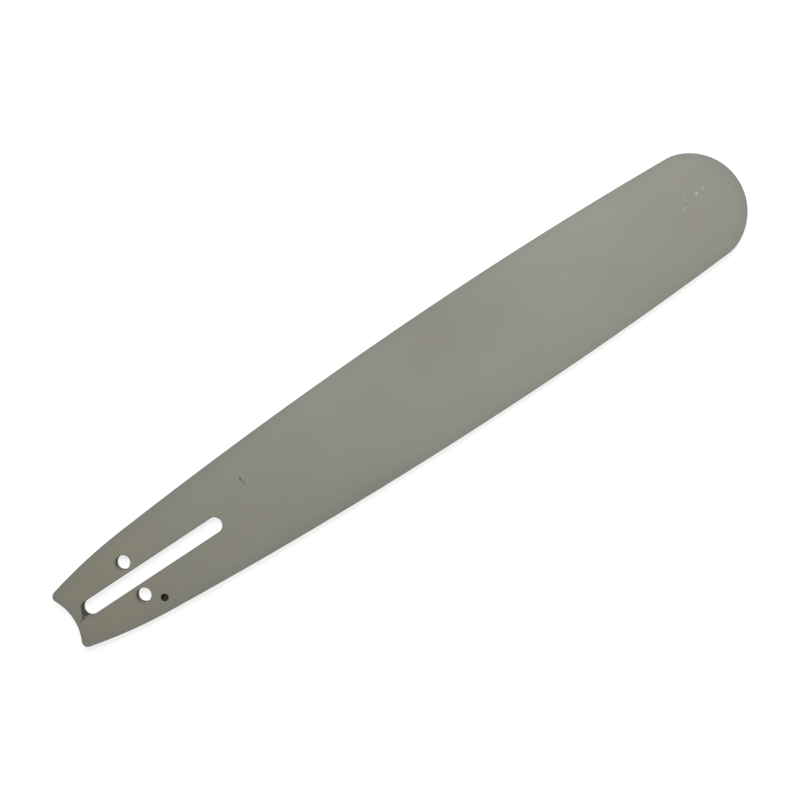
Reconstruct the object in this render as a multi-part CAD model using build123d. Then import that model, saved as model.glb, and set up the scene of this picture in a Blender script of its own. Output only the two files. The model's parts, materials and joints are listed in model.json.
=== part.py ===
from build123d import *
import os

# Chainsaw guide bar, one steel plate, in millimetres.
# Stations run along the bar from the bottom of the tail hollow (0) to the nose tip.

# Blade outline
blade_length = 480.0         # bottom of the tail hollow to the nose tip
plate_thickness = 4.8
belly_width = 76.9           # widest place of the blade
belly_station = 303.5
shoulder_width = 56.5        # where the flanks start to draw in to the tail
shoulder_station = 51.3
nose_width = 68.1            # across the two places where the flanks meet the nose arc
nose_crown = 26.4            # from those two places to the nose tip
nose_knuckle = 25.0          # radius that eases the slight corner there
tail_width = 36.7            # across the two horns, before they are rounded
hollow_depth = 5.7           # from the unrounded horns to the bottom of the hollow
horn_radius = 3.6

# Chain groove between the two rails
groove_width = 1.5
groove_depth = 8.5
entry_width = 2.7            # mouth of the groove at the horns
entry_length = 12.0          # how far the groove narrows from its mouth

# Stud slot and tensioner holes
slot_width = 9.6
slot_length = 99.4
slot_web = 7.3               # metal left between the slot and the tail hollow
tensioner_diameter = 8.9
tensioner_web = 2.4          # metal left between the slot and each tensioner hole
tensioner_station = 43.45

# Oil inlets, one drilled from each face into the groove
oil_diameter = 4.8
oil_station = 52.9

# Broken edges
rail_chamfer = 0.4
rim_chamfer = 0.4
oil_chamfer = 0.2


def flank():
    """Upper flank of the blade: three tangent arcs from the nose to the horn."""
    belly = (belly_station, belly_width / 2)
    front = TangentArc(belly, (blade_length - nose_crown, nose_width / 2), tangent=(1, 0))
    rear = TangentArc(belly, (shoulder_station, shoulder_width / 2), tangent=(-1, 0))
    tail = TangentArc(rear @ 1, (-hollow_depth, tail_width / 2), tangent=rear % 1)
    return front, rear, tail


def blade_face(tail_edges, tail_end):
    """Face inside both flanks, the nose arc and the edge that closes the tail."""
    front, rear, tail = flank()
    upper = [front, rear, tail] + tail_edges
    lower = [mirror(edge, about=Plane.XZ) for edge in upper]
    nose_corner = front @ 1
    nose = ThreePointArc(nose_corner, (blade_length, 0), (nose_corner.X, -nose_corner.Y))
    face = make_face(upper + lower + [nose, tail_end])
    return fillet(face.vertices().group_by(Axis.X)[-1], nose_knuckle)


def bar_face():
    """Outline of the bar, with the hollow tail and its two rounded horns."""
    horn = flank()[2] @ 1
    hollow = ThreePointArc(horn, (0, 0), (horn.X, -horn.Y))
    face = blade_face([], hollow)
    return fillet(face.vertices().group_by(Axis.X)[0], horn_radius)


def groove_core():
    """Web left between the two groove floors: the flanks run on past the tail, then all step inward."""
    tail = flank()[2]
    run_out = Line(tail @ 1, tail @ 1 + tail % 1 * 2 * groove_depth)
    end = run_out @ 1
    face = blade_face([run_out], Line(end, (end.X, -end.Y)))
    return offset(face, amount=-groove_depth, kind=Kind.INTERSECTION)


def plate():
    """Flat blank with its slot and tensioner holes, all rims broken on both faces."""
    slot_place = Pos(slot_web + slot_length / 2, 0)
    face = bar_face() - slot_place * SlotOverall(slot_length, slot_width)
    tensioner_y = slot_width / 2 + tensioner_web + tensioner_diameter / 2
    for side in (1, -1):
        face -= Pos(tensioner_station, side * tensioner_y) * Circle(tensioner_diameter / 2)
    blank = extrude(face, plate_thickness)
    faces = blank.faces().filter_by(Axis.Z)
    rails = [edge for face in faces for edge in face.outer_wire().edges()]
    blank = chamfer(rails, rail_chamfer)
    faces = blank.faces().filter_by(Axis.Z)
    rims = [edge for face in faces for wire in face.inner_wires() for edge in wire.edges()]
    return chamfer(rims, rim_chamfer)


def chain_groove(core):
    """Slit round the rails at mid thickness, opening like a funnel at the two horns."""
    ring = bar_face() - core
    middle = plate_thickness / 2
    slit = Pos(0, 0, middle - groove_width / 2) * extrude(ring, groove_width)
    mouth_end = entry_length - hollow_depth
    mouth = Polyline(
        (-hollow_depth, middle - entry_width / 2),
        (mouth_end, middle - groove_width / 2),
        (mouth_end, middle + groove_width / 2),
        (-hollow_depth, middle + entry_width / 2),
        close=True,
    )
    funnel = extrude(Plane.XZ * make_face(mouth), belly_width / 2, both=True)
    return slit + (funnel & extrude(ring, plate_thickness))


def oil_inlets(core):
    """Drillings centred on the groove floor, each from one face to the far wall of the groove."""
    station_line = Line((oil_station, 0), (oil_station, belly_width))
    floor_y = (core & station_line).bounding_box().max.Y
    depth = (plate_thickness + groove_width) / 2
    drill = Circle(oil_diameter / 2)
    mouth = Circle(oil_diameter / 2 + oil_chamfer)
    countersink = loft([mouth, Pos(0, 0, -oil_chamfer) * drill])
    inlet = extrude(drill, -depth) + countersink
    top = Pos(oil_station, -floor_y, plate_thickness) * inlet
    return top, Pos(oil_station, floor_y, 0) * Rot(180, 0, 0) * inlet


def guide_bar():
    """Finished bar, lying on one face with the middle of its box over the origin."""
    core = groove_core()
    bar = plate() - chain_groove(core)
    for inlet in oil_inlets(core):
        bar -= inlet
    return Pos(-bar.bounding_box().center().X, 0, 0) * bar


os.makedirs("parts", exist_ok=True)
export_step(guide_bar(), "parts/guide_bar.step")
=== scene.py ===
import json
from math import atan2, cos, pi, radians, sin, sqrt

import bmesh
import bpy
from mathutils import Matrix, Vector


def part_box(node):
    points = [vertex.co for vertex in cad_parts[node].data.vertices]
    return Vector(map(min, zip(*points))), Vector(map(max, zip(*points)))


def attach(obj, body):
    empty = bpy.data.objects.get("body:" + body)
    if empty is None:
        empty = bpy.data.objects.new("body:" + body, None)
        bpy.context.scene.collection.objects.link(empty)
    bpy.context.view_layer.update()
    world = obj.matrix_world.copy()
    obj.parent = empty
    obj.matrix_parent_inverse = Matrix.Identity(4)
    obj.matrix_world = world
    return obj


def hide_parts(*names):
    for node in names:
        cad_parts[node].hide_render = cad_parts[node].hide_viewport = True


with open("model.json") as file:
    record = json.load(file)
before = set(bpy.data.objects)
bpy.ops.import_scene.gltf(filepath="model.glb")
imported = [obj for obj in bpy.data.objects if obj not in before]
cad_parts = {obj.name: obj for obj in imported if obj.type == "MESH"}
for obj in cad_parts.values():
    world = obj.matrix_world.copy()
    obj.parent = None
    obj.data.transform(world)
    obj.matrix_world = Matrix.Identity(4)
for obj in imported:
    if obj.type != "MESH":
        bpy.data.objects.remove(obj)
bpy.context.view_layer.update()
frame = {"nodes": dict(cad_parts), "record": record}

scene = bpy.context.scene
scene.view_settings.view_transform = "Standard"
mounts = {mount["name"]: mount for mount in frame["record"]["mounts"]}
barLow, barHigh = [Vector(corner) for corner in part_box("guide_bar")]
noseTip = mounts["chain_groove"]["pos_m"][0]
mmPerMetre = 1000                        # the mounts' own sizes are in millimetres
print("frame loaded:", sorted(frame["nodes"]))


# Blade: the upper half of the plate is drawn from its middle plane up, then mirrored down.
# Sizes are in metres, and stations run from the bottom of the tail hollow to the nose tip.

blade = {
    "length": 0.480,
    "bellyStation": 0.3035,              # widest place; its width is the CAD's
    "shoulder": (0.0513, 0.02825),       # station and half width where the flanks draw in to the tail
    "noseCorner": (0.4536, 0.03405),     # where a flank meets the nose arc
    "noseKnuckle": 0.025,                # radius that eases that corner
    "hornCorner": (-0.0057, 0.01835),    # tail corner before it is rounded
    "hornRadius": 0.0036,
    "grooveWidth": 0.0015,
    "grooveDepth": 0.0085,
    "mouthWidth": 0.0027,                # groove at the horns
    "mouthLength": 0.012,
    "oilStation": 0.0529,
    "oilRadius": 0.0024,
    "oilBreak": 0.0002,                  # countersink of the oil inlets
    "oilFlare": 0.0006,                  # how far the drill's cone opens, on past the face
    "edgeRound": 0.0004,                 # rounding of the rails and of every rim
    "edgeSteps": 5,
    "railRub": 0.0030,                   # how far in from the rails the coat is rubbed
    "rimRub": 0.0010,                    # the same round the slot and the holes
    "bandWear": 0.6,                     # wear of the coat where the rail band ends, 1 at an edge
    "lipWear": 0.8,                      # at the mouth of the groove
    "wallWear": 0.4,                     # on the walls of the tail and of the openings
    "floorCut": 0.3,                     # how bare the groove's floor is, 1 on the rails
    "lipDeep": 0.1,                      # how far down the groove its mouth counts, 1 at its floor
    "noseSteps": 36,
    "knuckleSteps": 6,
    "flankSteps": 24,
    "tailSteps": 18,
    "mouthSteps": 4,
    "hornSteps": 14,
    "hollowSteps": 10,
    "holeSteps": 56,
    "weld": 0.00002,                     # points closer than this are one
    "sliver": 0.000002,                  # edges shorter than this are dropped
    "flatNormal": 0.999,                 # upward part of a normal that counts as a flat face
    "sharpTurn": 32,                     # degrees from face to face at which an edge stays sharp
}
finishLayers = ("edgeRub", "bareCut", "grooveDeep")     # near an edge, cut to steel, down in the groove


def circleFrom(start, heading, end):     # circle through two points, with its heading at the first
    chord = end - start
    side = Vector((-heading.y, heading.x))
    reach = chord.length_squared / (2 * chord.dot(side))
    return start + side * reach, abs(reach)


def circlesCross(centreA, radiusA, centreB, radiusB, near):    # the crossing that is nearest a point
    span = centreB - centreA
    reach = (radiusA ** 2 - radiusB ** 2 + span.length_squared) / (2 * span.length)
    rise = sqrt(radiusA ** 2 - reach ** 2)
    along = span.normalized()
    across = Vector((-along.y, along.x))
    sides = [centreA + along * reach + across * rise * sign for sign in (1, -1)]
    return min(sides, key=lambda point: (point - near).length)


def onCircle(centre, radius, towards):
    return centre + (towards - centre).normalized() * radius


def arcTo(centre, start, end, steps):    # centre, signed turn and steps of one stretch of a path
    a = start - centre
    b = end - centre
    return centre, atan2(a.x * b.y - a.y * b.x, a.dot(b)), steps


def atStation(station, side):
    return Vector((noseTip - blade["length"] + station, side))


def bladePaths():                        # upper half of each path: arcs from the bar's middle line on
    tip = atStation(blade["length"], 0)
    hollow = atStation(0, 0)
    belly = atStation(blade["bellyStation"], barHigh.y)
    shoulder = atStation(*blade["shoulder"])
    noseCorner = atStation(*blade["noseCorner"])
    hornCorner = atStation(*blade["hornCorner"])
    knuckle = blade["noseKnuckle"]
    horn = blade["hornRadius"]
    depth = blade["grooveDepth"]

    noseMid, noseR = circleFrom(tip, Vector((0, 1)), noseCorner)
    frontMid, frontR = circleFrom(belly, Vector((1, 0)), noseCorner)
    rearMid, rearR = circleFrom(belly, Vector((-1, 0)), shoulder)
    outward = (shoulder - rearMid).normalized()
    tailMid, tailR = circleFrom(shoulder, Vector((-outward.y, outward.x)), hornCorner)
    hollowMid, hollowR = circleFrom(hollow, Vector((0, 1)), hornCorner)
    knuckleMid = circlesCross(noseMid, noseR - knuckle, frontMid, frontR - knuckle, noseCorner)
    hornMid = circlesCross(tailMid, tailR - horn, hollowMid, hollowR + horn, hornCorner)

    noseEnd = onCircle(noseMid, noseR, knuckleMid)
    frontStart = onCircle(frontMid, frontR, knuckleMid)
    mouthX = hornCorner.x + blade["mouthLength"]
    mouth = Vector((mouthX, tailMid.y + sqrt(tailR ** 2 - (mouthX - tailMid.x) ** 2)))
    tailEnd = onCircle(tailMid, tailR, hornMid)
    hornEnd = onCircle(hollowMid, hollowR, hornMid)
    floorEnd = circlesCross(tailMid, tailR - depth, hollowMid, hollowR, hollow + Vector((0, depth)))
    bandEnd = onCircle(hollowMid, hollowR + blade["railRub"], floorEnd)
    oilX = atStation(blade["oilStation"], 0).x

    flank = [
        arcTo(noseMid, tip, noseEnd, blade["noseSteps"]),
        arcTo(knuckleMid, noseEnd, frontStart, blade["knuckleSteps"]),
        arcTo(frontMid, frontStart, belly, blade["flankSteps"]),
        arcTo(rearMid, belly, shoulder, blade["flankSteps"]),
        arcTo(tailMid, shoulder, mouth, blade["tailSteps"]),
    ]
    rail = flank + [
        arcTo(tailMid, mouth, tailEnd, blade["mouthSteps"]),
        arcTo(hornMid, tailEnd, hornEnd, blade["hornSteps"]),
        arcTo(hollowMid, hornEnd, floorEnd, blade["hollowSteps"]),
    ]
    endSteps = blade["mouthSteps"] + blade["hornSteps"] + blade["hollowSteps"]
    return {
        "rail": (tip, rail),
        "floor": (tip, flank + [arcTo(tailMid, mouth, floorEnd, endSteps)]),
        "band": (tip, flank + [arcTo(tailMid, mouth, bandEnd, endSteps)]),
        "back": (hollow, [arcTo(hollowMid, hollow, floorEnd, blade["hollowSteps"])]),
        "bandInset": tailR - (bandEnd - tailMid).length,
        "floorEnd": floorEnd,
        "mouthX": mouthX,
        "oilSpot": Vector((oilX, rearMid.y + sqrt((rearR - depth) ** 2 - (oilX - rearMid.x) ** 2))),
    }


paths = bladePaths()


def grooveHalf(x):                       # half the groove's width, wider in the mouths at the horns
    flare = max(0.0, (paths["mouthX"] - x) / blade["mouthLength"])
    return (blade["grooveWidth"] + flare * (blade["mouthWidth"] - blade["grooveWidth"])) / 2


def spinOn(bm, vert, centre, z, turn, steps):     # draws an arc from a point and returns its end
    ring = bmesh.ops.spin(bm, geom=[vert], cent=(centre.x, centre.y, z), axis=(0, 0, 1),
                          angle=turn, steps=steps)
    return [item for item in ring["geom_last"] if isinstance(item, bmesh.types.BMVert)][0]


def startVert(bm, place, finish):        # its finish values go with it as it is spun
    vert = bm.verts.new(place)
    for name, value in finish.items():
        vert[bm.verts.layers.float[name]] = value
    return vert


def traceChain(bm, name, inset, z, **finish):     # both halves of a path, drawn in by an inset
    start, arcs = paths[name]
    known = set(bm.edges)
    inward = 1 if name == "back" else -1
    first = startVert(bm, (start.x + inward * inset, 0, z), finish)
    for side in (1, -1):
        last = first
        for centre, turn, steps in arcs:
            last = spinOn(bm, last, Vector((centre.x, centre.y * side)), z, turn * side, steps)
    return [edge for edge in bm.edges if edge not in known]


def edgeProfile(top):                    # rounded edge from the face to the wall: inset and height
    size = blade["edgeRound"]
    turns = [pi / 2 * (1 - step / blade["edgeSteps"]) for step in range(blade["edgeSteps"] + 1)]
    return [(size * (1 - cos(turn)), top - size + size * sin(turn)) for turn in turns]


def joinChains(bm, chains):
    for upper, lower in zip(chains, chains[1:]):
        bmesh.ops.bridge_loops(bm, edges=upper + lower)


def liftToGroove(chain):                 # a groove chain rises to the groove's wall, flared at the horns
    for vert in {vert for edge in chain for vert in edge.verts}:
        vert.co.z = grooveHalf(vert.co.x)


def addRails(bm, top):
    depth = blade["grooveDepth"]
    floorCut = blade["floorCut"]
    band = traceChain(bm, "band", paths["bandInset"], top)
    rub = traceChain(bm, "rail", blade["railRub"], top, edgeRub=blade["bandWear"])
    rounding = [traceChain(bm, "rail", inset, z, edgeRub=1.0, bareCut=1.0 - inset / blade["edgeRound"])
                for inset, z in edgeProfile(top)]
    lip = traceChain(bm, "rail", 0.0, 0.0,
                     edgeRub=blade["lipWear"], bareCut=1.0, grooveDeep=blade["lipDeep"])
    ceiling = traceChain(bm, "floor", depth, 0.0, bareCut=floorCut, grooveDeep=1.0)
    middle = traceChain(bm, "floor", depth, 0.0, bareCut=floorCut, grooveDeep=1.0)
    liftToGroove(lip)
    liftToGroove(ceiling)
    joinChains(bm, [band, rub] + rounding + [lip, ceiling, middle])


def addHollow(bm, top):                  # wall of the tail between the two groove mouths
    rub = traceChain(bm, "back", blade["railRub"], top, edgeRub=blade["bandWear"])
    rounding = [traceChain(bm, "back", inset, z, edgeRub=1.0) for inset, z in edgeProfile(top)]
    lip = traceChain(bm, "back", 0.0, grooveHalf(paths["floorEnd"].x), edgeRub=blade["wallWear"])
    middle = traceChain(bm, "back", 0.0, 0.0, edgeRub=blade["wallWear"])
    joinChains(bm, [rub] + rounding + [lip, middle])


def traceOpening(bm, centre, straight, radius, z, rub):     # a hole, or a slot with a straight part
    known = set(bm.edges)
    half = straight / 2
    first = startVert(bm, (centre.x + half, centre.y - radius, z), {"edgeRub": rub})
    last = first
    for end in (half, -half):
        last = spinOn(bm, last, Vector((centre.x + end, centre.y)), z, pi, blade["holeSteps"] // 2)
        if straight:
            last = bmesh.ops.extrude_vert_indiv(bm, verts=[last])["verts"][0]
            bmesh.ops.translate(bm, verts=[last], vec=(-2 * end, 0, 0))
    bmesh.ops.pointmerge(bm, verts=[first, last], merge_co=first.co)
    return [edge for edge in bm.edges if edge not in known]


def addOpening(bm, top, centre, straight, radius):
    levels = [(blade["rimRub"], top, 0.0)]
    levels += [(inset, z, 1.0) for inset, z in edgeProfile(top)]
    levels += [(0.0, 0.0, blade["wallWear"])]
    rings = [traceOpening(bm, centre, straight, radius + inset, z, rub) for inset, z, rub in levels]
    joinChains(bm, rings)


def addFace(bm, top):                    # flat face between the rail band and the openings
    bmesh.ops.remove_doubles(bm, verts=bm.verts, dist=blade["weld"])
    bmesh.ops.dissolve_degenerate(bm, dist=blade["sliver"], edges=bm.edges)
    rim = [edge for edge in bm.edges
           if edge.is_boundary and min(vert.co.z for vert in edge.verts) > top - blade["weld"]]
    bmesh.ops.triangle_fill(bm, use_beauty=True, edges=rim, normal=(0, 0, 1))


def newPiece(bm, name):
    mesh = bpy.data.meshes.new(name)
    bm.to_mesh(mesh)
    bm.free()
    piece = bpy.data.objects.new(name, mesh)
    scene.collection.objects.link(piece)
    return piece


def openEdges(bm):
    return len([edge for edge in bm.edges if not edge.is_manifold])


def buildPlate():
    top = barHigh.z / 2
    bm = bmesh.new()
    for name in finishLayers:
        bm.verts.layers.float.new(name)
    addRails(bm, top)
    addHollow(bm, top)
    slot = mounts["stud_slot"]
    slotRadius = slot["dims"]["hole_r_mm"] / mmPerMetre
    slotStraight = slot["dims"]["slot_length_mm"] / mmPerMetre - 2 * slotRadius
    addOpening(bm, top, Vector(slot["pos_m"]).xy, slotStraight, slotRadius)
    for name in ("tensioner_hole_left", "tensioner_hole_right"):
        hole = mounts[name]
        addOpening(bm, top, Vector(hole["pos_m"]).xy, 0.0, hole["dims"]["r_mm"] / mmPerMetre)
    addFace(bm, top)
    bmesh.ops.mirror(bm, geom=bm.verts[:] + bm.edges[:] + bm.faces[:], matrix=Matrix.Identity(4),
                     merge_dist=blade["weld"], axis="Z")
    bmesh.ops.remove_doubles(bm, verts=bm.verts, dist=blade["weld"])
    bmesh.ops.recalc_face_normals(bm, faces=bm.faces)
    bmesh.ops.translate(bm, verts=bm.verts, vec=(0, 0, top))
    print("plate:", len(bm.faces), "faces,", openEdges(bm), "open edges")
    return newPiece(bm, "barBlade")


def buildDrills():                       # an oil drill from each face, the second turned over
    spot = paths["oilSpot"]
    middle = barHigh.z / 2
    radius = blade["oilRadius"]
    flare = blade["oilFlare"]
    foot = middle - blade["grooveWidth"] / 2 + blade["weld"]     # just clear of the groove's far wall
    neck = barHigh.z - blade["oilBreak"]
    head = neck + flare
    bm = bmesh.new()
    last = bm.verts.new((spot.x, -spot.y, foot))
    for out, z in ((radius, foot), (radius, neck), (radius + flare, head), (0.0, head)):
        last = bmesh.ops.extrude_vert_indiv(bm, verts=[last])["verts"][0]
        last.co = (spot.x + out, -spot.y, z)
    bmesh.ops.spin(bm, geom=bm.verts[:] + bm.edges[:], cent=(spot.x, -spot.y, 0), axis=(0, 0, 1),
                   angle=2 * pi, steps=blade["holeSteps"], use_merge=True)
    bmesh.ops.remove_doubles(bm, verts=bm.verts, dist=blade["weld"])
    twin = bmesh.ops.duplicate(bm, geom=bm.verts[:] + bm.edges[:] + bm.faces[:])
    bmesh.ops.rotate(bm, cent=(0, 0, middle), matrix=Matrix.Rotation(pi, 3, "X"),
                     verts=[item for item in twin["geom"] if isinstance(item, bmesh.types.BMVert)])
    bmesh.ops.recalc_face_normals(bm, faces=bm.faces)
    return newPiece(bm, "oilDrills")


def buildBlade():
    piece = buildPlate()
    drills = buildDrills()
    cut = piece.modifiers.new("oilInlets", "BOOLEAN")
    cut.operation = "DIFFERENCE"
    cut.solver = "EXACT"
    cut.object = drills
    plain = piece.data
    graph = bpy.context.evaluated_depsgraph_get()
    drilled = piece.evaluated_get(graph)
    piece.data = bpy.data.meshes.new_from_object(drilled, preserve_all_data_layers=True, depsgraph=graph)
    piece.modifiers.remove(cut)
    bpy.data.objects.remove(drills)
    bpy.data.meshes.remove(plain)

    bm = bmesh.new()
    bm.from_mesh(piece.data)
    for face in bm.faces:                # rounded edges and walls are smooth, the two faces stay flat
        face.smooth = abs(face.normal.z) < blade["flatNormal"]
    for edge in bm.edges:
        edge.smooth = edge.is_manifold and edge.calc_face_angle() < radians(blade["sharpTurn"])
    print("blade:", len(bm.faces), "faces,", openEdges(bm), "open edges")
    bm.to_mesh(piece.data)
    bm.free()
    piece.data.name = "barBlade"
    return piece


bladePiece = buildBlade()
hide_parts("guide_bar")
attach(bladePiece, "root")


# Node helpers, used by the coat and the stage

def addNode(tree, kind, inputs, **settings):
    node = tree.nodes.new(kind)
    for name, value in settings.items():
        setattr(node, name, value)
    for socket, value in inputs.items():
        if isinstance(value, bpy.types.NodeSocket):
            tree.links.new(value, node.inputs[socket])
        else:
            node.inputs[socket].default_value = value
    return node


def freshTree(owner):                    # empty node tree of a material or a world
    owner.use_nodes = True
    owner.node_tree.nodes.clear()
    return owner.node_tree


def mathNode(tree, operation, a, b):
    return addNode(tree, "ShaderNodeMath", {0: a, 1: b}, operation=operation).outputs[0]


def vectorNode(tree, operation, a, b):
    return addNode(tree, "ShaderNodeVectorMath", {0: a, 1: b}, operation=operation).outputs[0]


def lengthNode(tree, vector):
    return addNode(tree, "ShaderNodeVectorMath", {0: vector}, operation="LENGTH").outputs["Value"]


def mixColour(tree, factor, a, b):
    return addNode(tree, "ShaderNodeMix", {0: factor, 6: a, 7: b}, data_type="RGBA").outputs[2]


def mixValue(tree, factor, a, b):
    return addNode(tree, "ShaderNodeMix", {0: factor, 2: a, 3: b}, data_type="FLOAT").outputs[0]


def ramp(tree, value, start, end, low=0.0, high=1.0):
    return addNode(tree, "ShaderNodeMapRange", {0: value, 1: start, 2: end, 3: low, 4: high},
                   interpolation_type="SMOOTHSTEP").outputs[0]


def newGroup(name, inputs, output):
    group = bpy.data.node_groups.new(name, "ShaderNodeTree")
    for socket, kind in inputs.items():
        group.interface.new_socket(name=socket, in_out="INPUT", socket_type="NodeSocket" + kind)
    group.interface.new_socket(name=output, in_out="OUTPUT", socket_type="NodeSocketFloat")
    start = group.nodes.new("NodeGroupInput")
    end = group.nodes.new("NodeGroupOutput")
    return group, start.outputs, end.inputs[output]


def useGroup(tree, group, inputs):
    return addNode(tree, "ShaderNodeGroup", inputs, node_tree=group).outputs[0]


# Effects that break up the coat, each a node group

effects = {
    "cloudDetail": 3.0,
    "cloudRoughness": 0.5,
    "cloudCut": (0.32, 0.68),            # noise between which a cloud goes from none to full
    "raggedScale": 900.0,                # per metre
    "raggedDetail": 2.0,
    "wearDetail": 4.0,
    "wearRoughness": 0.6,
    "wearStart": 1.25,                   # rub and noise together that wear through, less the Reach
    "wearFade": 0.18,
    "noiseMiddle": 0.5,
}


def swing(tree, noise):                  # noise as a shift up and down
    return mathNode(tree, "SUBTRACT", noise.outputs[0], effects["noiseMiddle"])


def cloudGroup():                        # soft patches, from 0 to 1
    group, given, result = newGroup(
        "toneClouds", {"Vector": "Vector", "Scale": "Float", "Shift": "Float"}, "Cloud")
    noise = addNode(group, "ShaderNodeTexNoise", {
        "Vector": given["Vector"], "W": given["Shift"], "Scale": given["Scale"],
        "Detail": effects["cloudDetail"], "Roughness": effects["cloudRoughness"],
    }, noise_dimensions="4D")
    group.links.new(ramp(group, noise.outputs[0], *effects["cloudCut"]), result)
    return group


def flawGroup():                         # one small mark: an ellipsoid with a ragged edge, 1 inside it
    group, given, result = newGroup("coatFlaw", {
        "Vector": "Vector", "Place": "Vector", "Half Size": "Vector",
        "Turn": "Float", "Ragged": "Float", "Soft": "Float",
    }, "Mask")
    away = vectorNode(group, "SUBTRACT", given["Vector"], given["Place"])
    turned = addNode(group, "ShaderNodeVectorRotate", {
        "Vector": away, "Angle": mathNode(group, "MULTIPLY", given["Turn"], -1.0),
    }, rotation_type="Z_AXIS").outputs[0]
    reach = lengthNode(group, vectorNode(group, "DIVIDE", turned, given["Half Size"]))
    noise = addNode(group, "ShaderNodeTexNoise", {
        "Vector": given["Vector"], "Scale": effects["raggedScale"], "Detail": effects["raggedDetail"],
    })
    ragged = mathNode(group, "MULTIPLY", swing(group, noise), given["Ragged"])
    edge = mathNode(group, "ADD", reach, ragged)
    inner = mathNode(group, "SUBTRACT", 1.0, given["Soft"])
    group.links.new(ramp(group, edge, 1.0, inner), result)
    return group


def rubGroup():                          # worn places along an edge, broken up by noise
    group, given, result = newGroup(
        "edgeWear", {"Vector": "Vector", "Rub": "Float", "Reach": "Float", "Scale": "Float"}, "Mask")
    noise = addNode(group, "ShaderNodeTexNoise", {
        "Vector": given["Vector"], "Scale": given["Scale"],
        "Detail": effects["wearDetail"], "Roughness": effects["wearRoughness"],
    })
    worn = mathNode(group, "ADD", given["Rub"], swing(group, noise))
    start = mathNode(group, "SUBTRACT", effects["wearStart"], given["Reach"])
    end = mathNode(group, "ADD", start, effects["wearFade"])
    group.links.new(ramp(group, worn, start, end), result)
    return group


clouds = cloudGroup()
flaw = flawGroup()
wear = rubGroup()


# Coat: matte grey-olive paint, faintly clouded, thin on the rails

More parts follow.
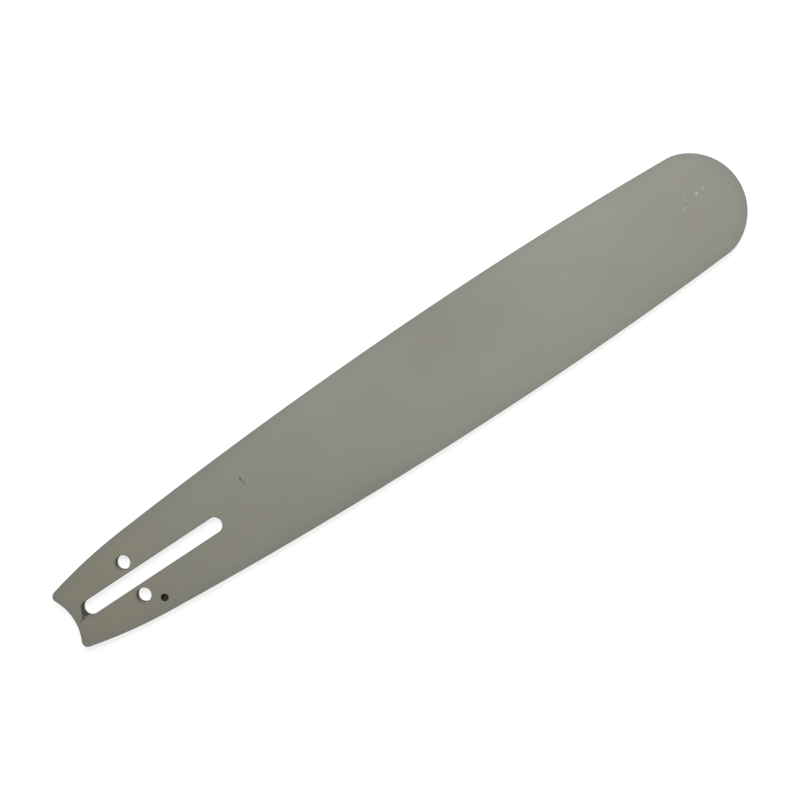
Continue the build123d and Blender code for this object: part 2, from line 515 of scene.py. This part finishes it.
coat = {
    "tone": (0.262, 0.257, 0.215, 1),    # the record's colour
    "warmTone": (0.269, 0.260, 0.211, 1),
    "coolTone": (0.254, 0.259, 0.222, 1),
    "tailTone": (0.266, 0.255, 0.196, 1),       # a little browner towards the tail
    "railTone": (0.228, 0.224, 0.200, 1),       # thin coat over the hardened rails
    # oil and painted shade down in the groove, painted shade in the oil inlets
    "oilAndShadeTone": (0.040, 0.037, 0.032, 1),
    # colour of the painted shade in the tensioner holes
    "holeShadeTone": (0.085, 0.080, 0.068, 1),
    "steelTone": (0.46, 0.45, 0.43, 1),
    "steelShade": (0.30, 0.29, 0.27, 1),        # grinding lines along the rails
    "chipTone": (0.62, 0.61, 0.55, 1),
    "darkTone": (0.045, 0.045, 0.036, 1),
    "stainTone": (0.058, 0.050, 0.043, 1),
    "roughness": 0.56,
    "roughSpread": 0.12,                 # how much of it comes and goes with the grain
    "steelRoughness": 0.36,
    "stainAndShadeRoughness": 0.85,
    "specular": 0.3,
    "clouds": {                          # scale per metre, shift of the pattern, amount
        "warm": (16.0, 0.0, 0.50),
        "cool": (22.0, 4.0, 0.45),
        "pale": (34.0, 9.0, 0.03),
    },
    "baseShade": 0.935,                  # brightness before clouds and grain lift it
    "grainShade": 0.10,
    "grainScale": 1500.0,                # per metre
    "grainDetail": 3.0,
    "grainRoughness": 0.6,
    "grainBump": 0.10,
    "grainHeight": 0.0002,
    "tailStart": -0.05,                  # where along the bar the tail's tone sets in
    "tailShare": 0.8,
    "railShare": 0.6,
    "railStart": (0.002, 0.004),         # steel sets in this far past the groove floor's end and the mouth
    "wearReach": 0.55,
    "wearScale": 260.0,
    "grindScale": 90.0,
    "grindStretch": (1, 1, 70),          # lines are long along the rails and fine across them
    "grindCut": (0.35, 0.75),
    "oilAndShadeDepths": (0.05, 0.45),             # depths in the groove between which it turns dark: oil and painted shade
    "markEdges": {                       # softness and raggedness of each kind of mark
        "chips": (0.50, 0.50),
        "darkMarks": (0.60, 0.50),
        "stains": (0.35, 0.45),
        "streaks": (0.55, 0.80),
        "shades": (1.0, 0.0),
        "holeShade": (0.35, 0.10),
    },
    "chips": [                           # place along and across, half length, half width, turn, strength
        (0.20939, 0.00931, 0.00125, 0.00036, 57, 0.27),
        (0.21622, 0.00655, 0.00082, 0.00064, -10, 0.76),
        (0.21602, 0.00729, 0.00100, 0.00042, 101, 0.34),
        (0.22123, 0.00687, 0.00165, 0.00075, 57, 0.21),
        (0.20527, 0.00309, 0.00068, 0.00052, 57, 0.62),
        (0.20625, 0.00284, 0.00110, 0.00042, -20, 0.17),
        (0.20441, 0.00136, 0.00150, 0.00034, -33, 0.19),
    ],
    "darkMarks": [
        (-0.10776, 0.01494, 0.00124, 0.00074, 98, 1.0),        # head of a scratch, then its curling tail
        (-0.10738, 0.01352, 0.00130, 0.00058, -66, 0.64),
        (-0.10701, 0.01212, 0.00105, 0.00056, -87, 0.50),
        (-0.10708, 0.01105, 0.00095, 0.00056, 78, 0.44),
        (-0.10768, 0.01060, 0.00095, 0.00050, -3, 0.28),
        (-0.10527, 0.00447, 0.00100, 0.00066, 57, 0.42),       # small hooked scuff
        (-0.10365, 0.00508, 0.00140, 0.00046, -33, 0.15),
        (0.20796, 0.00408, 0.00060, 0.00042, 0, 0.40),
        (0.20745, 0.00357, 0.00150, 0.00036, -33, 0.12),
    ],
    "stains": [                          # on the face and the wall at the slot's tail end
        (-0.2280, 0.0004, 0.0044, 0.0054, 0, 0.82),
        (-0.2304, -0.0013, 0.0030, 0.0015, -60, 0.96),
    ],
    "streaks": [                         # from there to the hollow, on the face alone
        (-0.2320, -0.0024, 0.0030, 0.0017, 41, 0.74),
        (-0.2345, -0.0038, 0.0027, 0.0008, 36, 0.42),
        (-0.2276, -0.0047, 0.0025, 0.0011, -10, 0.28),
    ],
    "shades": [                          # broad patches of painted shade that dull the lit face
        (0.045, 0.034, 0.100, 0.055, 0, 0.135),
        (-0.060, -0.036, 0.085, 0.022, 0, 0.07),
    ],
    "holeShade": [                           # painted shade on the lower wall of the tensioner holes, on the tail's side
        (-0.1958, 0.0114, 0.0066, 0.0066, 0, 0.58),
        (-0.1958, -0.0119, 0.0066, 0.0066, 0, 0.76),
    ],
    "holeShadeHeight": 0.0012,
    "holeShadeDepth": 0.0060,
    "markDepth": 0.0020,
    "wallDepth": 0.0080,                 # marks that run down a wall
    "paintedShadeDepth": 1.0,                   # these go right through
    "oilWellShadeSize": (0.0034, 0.0023),         # painted shade in an oil inlet: half width, half depth
    "oilWellShadeHeight": 0.0026,
    "oilWellShadeSoft": 0.15,
}


def coatCloud(tree, place, name):        # patches of one kind, at their own amount
    scale, shift, amount = coat["clouds"][name]
    mask = useGroup(tree, clouds, {"Vector": place, "Scale": scale, "Shift": shift})
    return mathNode(tree, "MULTIPLY", mask, amount)


def coatMarks(tree, place, name, depth, height=barHigh.z):     # all marks of one kind, as one mask
    soft, ragged = coat["markEdges"][name]
    total = 0.0
    for x, y, halfLength, halfWidth, turn, strength in coat[name]:
        mask = useGroup(tree, flaw, {
            "Vector": place, "Place": (x, y, height), "Half Size": (halfLength, halfWidth, depth),
            "Turn": radians(turn), "Soft": soft, "Ragged": ragged,
        })
        total = mathNode(tree, "MAXIMUM", mathNode(tree, "MULTIPLY", mask, strength), total)
    return total


def oilWellShade(tree, place):               # painted shade in both oil inlets, as one mask
    half, halfDepth = coat["oilWellShadeSize"]
    height = coat["oilWellShadeHeight"]
    spot = paths["oilSpot"]
    masks = [useGroup(tree, flaw, {
        "Vector": place, "Place": (spot.x, y, z), "Half Size": (half, half, halfDepth),
        "Soft": coat["oilWellShadeSoft"], "Ragged": 0.0,
    }) for y, z in ((-spot.y, height), (spot.y, barHigh.z - height))]
    return mathNode(tree, "MAXIMUM", *masks)


def speckle(tree, vector, scale):        # fine noise in the paint and in the ground steel
    return addNode(tree, "ShaderNodeTexNoise", {
        "Vector": vector, "Scale": scale,
        "Detail": coat["grainDetail"], "Roughness": coat["grainRoughness"],
    }).outputs[0]


def paintColour(tree, place, along, rub, grain):     # clouded, browner at the tail, thin on the rails
    colour = mixColour(tree, coatCloud(tree, place, "warm"), coat["tone"], coat["warmTone"])
    colour = mixColour(tree, coatCloud(tree, place, "cool"), colour, coat["coolTone"])
    browner = ramp(tree, along, coat["tailStart"], barLow.x, 0.0, coat["tailShare"])
    colour = mixColour(tree, browner, colour, coat["tailTone"])
    thin = ramp(tree, rub, 0.0, 1.0, 0.0, coat["railShare"])
    colour = mixColour(tree, thin, colour, coat["railTone"])
    bright = mathNode(tree, "MULTIPLY", grain, coat["grainShade"])
    bright = mathNode(tree, "ADD", coatCloud(tree, place, "pale"), bright)
    # painted shade: broad patches take brightness off the coat
    bright = mathNode(tree, "SUBTRACT", bright, coatMarks(tree, place, "shades", coat["paintedShadeDepth"]))
    bright = mathNode(tree, "ADD", bright, coat["baseShade"])
    return addNode(tree, "ShaderNodeHueSaturation", {"Value": bright, "Color": colour}).outputs[0]


def addMarks(tree, place, colour):       # colour with every mark on it, and where it is stained or has painted shade
    chips = coatMarks(tree, place, "chips", coat["markDepth"])
    dark = coatMarks(tree, place, "darkMarks", coat["markDepth"])
    streak = coatMarks(tree, place, "streaks", coat["markDepth"])
    stain = mathNode(tree, "MAXIMUM", coatMarks(tree, place, "stains", coat["wallDepth"]), streak)
    # painted shade: the tail-side walls and rims of the tensioner holes are darkened where shade falls
    holeShade = coatMarks(tree, place, "holeShade", coat["holeShadeDepth"], coat["holeShadeHeight"])
    for mask, tone in ((holeShade, "holeShadeTone"), (stain, "stainTone"), (dark, "darkTone"), (chips, "chipTone")):
        colour = mixColour(tree, mask, colour, coat[tone])
    return colour, mathNode(tree, "MAXIMUM", stain, holeShade)


def groundRails(tree, place, along, cut):     # where the rails are bare, and the steel's colour there
    pastFloor, pastMouth = coat["railStart"]
    onRails = ramp(tree, along, paths["floorEnd"].x + pastFloor, paths["mouthX"] + pastMouth)
    worn = useGroup(tree, wear, {
        "Vector": place, "Rub": cut, "Reach": coat["wearReach"], "Scale": coat["wearScale"],
    })
    stretched = vectorNode(tree, "MULTIPLY", place, coat["grindStretch"])
    lines = ramp(tree, speckle(tree, stretched, coat["grindScale"]), *coat["grindCut"])
    steel = mixColour(tree, lines, coat["steelTone"], coat["steelShade"])
    return mathNode(tree, "MULTIPLY", worn, onRails), steel


def buildCoat():
    material = bpy.data.materials.new("barCoat")
    tree = freshTree(material)
    place = addNode(tree, "ShaderNodeTexCoord", {}).outputs["Object"]
    along = addNode(tree, "ShaderNodeSeparateXYZ", {"Vector": place}).outputs["X"]
    rub, cut, deep = [addNode(tree, "ShaderNodeAttribute", {}, attribute_name=name).outputs["Fac"]
                      for name in finishLayers]
    grain = speckle(tree, place, coat["grainScale"])

    colour = paintColour(tree, place, along, rub, grain)
    colour, stainAndShade = addMarks(tree, place, colour)
    bare, steel = groundRails(tree, place, along, cut)
    colour = mixColour(tree, bare, colour, steel)
    # the groove is darkened with oil and painted shade, the oil inlets with painted shade
    oilAndShade = mathNode(tree, "MAXIMUM", ramp(tree, deep, *coat["oilAndShadeDepths"]), oilWellShade(tree, place))
    colour = mixColour(tree, oilAndShade, colour, coat["oilAndShadeTone"])
    bare = mathNode(tree, "MULTIPLY", bare, mathNode(tree, "SUBTRACT", 1.0, oilAndShade))

    rough = mathNode(tree, "MULTIPLY", grain, coat["roughSpread"])
    rough = mathNode(tree, "ADD", rough, coat["roughness"] - coat["roughSpread"] / 2)
    rough = mixValue(tree, stainAndShade, rough, coat["stainAndShadeRoughness"])
    rough = mixValue(tree, bare, rough, coat["steelRoughness"])
    bump = addNode(tree, "ShaderNodeBump", {
        "Strength": coat["grainBump"], "Distance": coat["grainHeight"], "Height": grain,
    }).outputs[0]
    shader = addNode(tree, "ShaderNodeBsdfPrincipled", {
        "Base Color": colour, "Roughness": rough, "Metallic": bare, "Normal": bump,
        "Specular IOR Level": coat["specular"],
    })
    addNode(tree, "ShaderNodeOutputMaterial", {"Surface": shader.outputs[0]})
    return material


bladePiece.data.materials.clear()
bladePiece.data.materials.append(buildCoat())
print("coat done")


# Stage: pale floor, soft light, camera straight above

stage = {
    "floorSize": 3.0,
    "floorDrop": 0.00005,                # keeps the floor just clear of the lower face
    "floorTone": (0.40, 0.40, 0.40, 1),
    "floorGlow": 0.78,                   # lifts the lit floor to white for the camera
    "farGlow": 0.97,                     # the same out of the lamp's reach
    "glowReach": (0.36, 0.68),           # distances from the bar between which the one turns to the other
    "skyLight": 0.20,
    "keyPlace": (0.19, 0.38, 0.52),      # up the picture, over the front half of the bar
    "keySize": 0.5,
    "keyPower": 5.11,
}
view = {
    "middle": (-0.0013, 0.0013),         # point of the face under the lens
    "height": 0.480,                     # lens above the upper face
    "frame": 0.48164,                    # width of the face that the picture spans
    "roll": -33.469,                     # the nose points up to the right
    "sensor": 36.0,
}


def seenDirectly(tree):                  # 1 for camera, mirror and glass rays
    path = addNode(tree, "ShaderNodeLightPath", {}).outputs
    seen = mathNode(tree, "MAXIMUM", path["Is Camera Ray"], path["Is Glossy Ray"])
    return mathNode(tree, "MAXIMUM", seen, path["Is Transmission Ray"])


def buildFloor():
    bm = bmesh.new()
    bmesh.ops.create_grid(bm, x_segments=1, y_segments=1, size=stage["floorSize"])
    bmesh.ops.translate(bm, verts=bm.verts, vec=(0, 0, -stage["floorDrop"]))
    floor = newPiece(bm, "studioFloor")
    material = bpy.data.materials.new("paleFloor")
    tree = freshTree(material)
    matte = addNode(tree, "ShaderNodeBsdfDiffuse", {"Color": stage["floorTone"]}).outputs[0]
    place = addNode(tree, "ShaderNodeTexCoord", {}).outputs["Object"]
    lift = ramp(tree, lengthNode(tree, place), *stage["glowReach"], stage["floorGlow"], stage["farGlow"])
    glow = addNode(tree, "ShaderNodeEmission", {
        "Strength": mathNode(tree, "MULTIPLY", seenDirectly(tree), lift),
    }).outputs[0]
    both = addNode(tree, "ShaderNodeAddShader", {0: matte, 1: glow}).outputs[0]
    addNode(tree, "ShaderNodeOutputMaterial", {"Surface": both})
    floor.data.materials.append(material)


def buildSky():
    world = bpy.data.worlds.new("softSky")
    tree = freshTree(world)
    sky = addNode(tree, "ShaderNodeBackground", {
        "Color": (1, 1, 1, 1), "Strength": mixValue(tree, seenDirectly(tree), stage["skyLight"], 1.0),
    }).outputs[0]
    addNode(tree, "ShaderNodeOutputWorld", {"Surface": sky})
    scene.world = world


def addLamp():
    light = bpy.data.lights.new("keyLamp", "AREA")
    light.size = stage["keySize"]
    light.energy = stage["keyPower"]
    lamp = bpy.data.objects.new("keyLamp", light)
    lamp.location = stage["keyPlace"]
    lamp.rotation_euler = Vector(stage["keyPlace"]).to_track_quat("Z", "Y").to_euler()
    lamp.visible_camera = False
    scene.collection.objects.link(lamp)


def addCamera():
    camera = bpy.data.objects.new("overheadCamera", bpy.data.cameras.new("overheadCamera"))
    camera.data.sensor_width = view["sensor"]
    camera.data.lens = view["sensor"] * view["height"] / view["frame"]
    camera.location = (*view["middle"], barHigh.z + view["height"])
    camera.rotation_euler = (0, 0, radians(view["roll"]))
    scene.collection.objects.link(camera)
    scene.camera = camera


buildFloor()
buildSky()
addLamp()
addCamera()
print("stage done")
